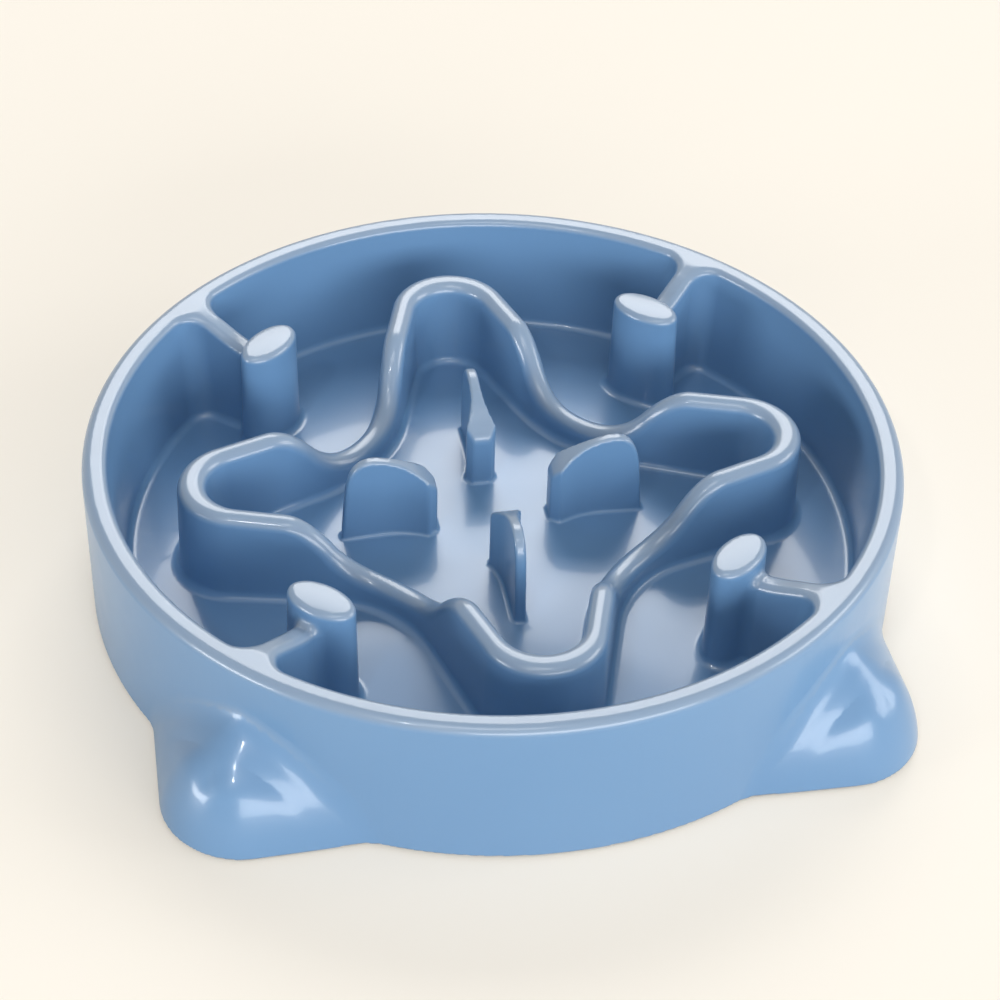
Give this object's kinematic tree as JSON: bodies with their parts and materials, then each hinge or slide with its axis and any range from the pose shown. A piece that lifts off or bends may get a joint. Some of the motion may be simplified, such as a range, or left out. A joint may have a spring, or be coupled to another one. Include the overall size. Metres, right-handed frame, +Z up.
{
  "type": "slow feeder bowl",
  "caption": "Round blue slow feeder bowl for a pet, with a star-shaped maze wall, fins, oval posts ribbed to the rim, and cat-ear feet, on push-in rubber pads.",
  "frame": {"origin": "on the bowl's axis, on the surface that the rubber pads stand on", "axes": "+Z up along the bowl's axis; -Y towards the front, midway between the two ears; +X to the right seen from the front"},
  "size_m": [0.205, 0.205, 0.0424],
  "materials": {
    "bowl_plastic": "gloss",
    "pad_rubber": "matte"
  },
  "bodies": {
    "root": {"bowl": "bowl_plastic", "pad_front": "pad_rubber", "pad_back": "pad_rubber", "pad_left": "pad_rubber", "pad_right": "pad_rubber"}
  },
  "joints": []
}
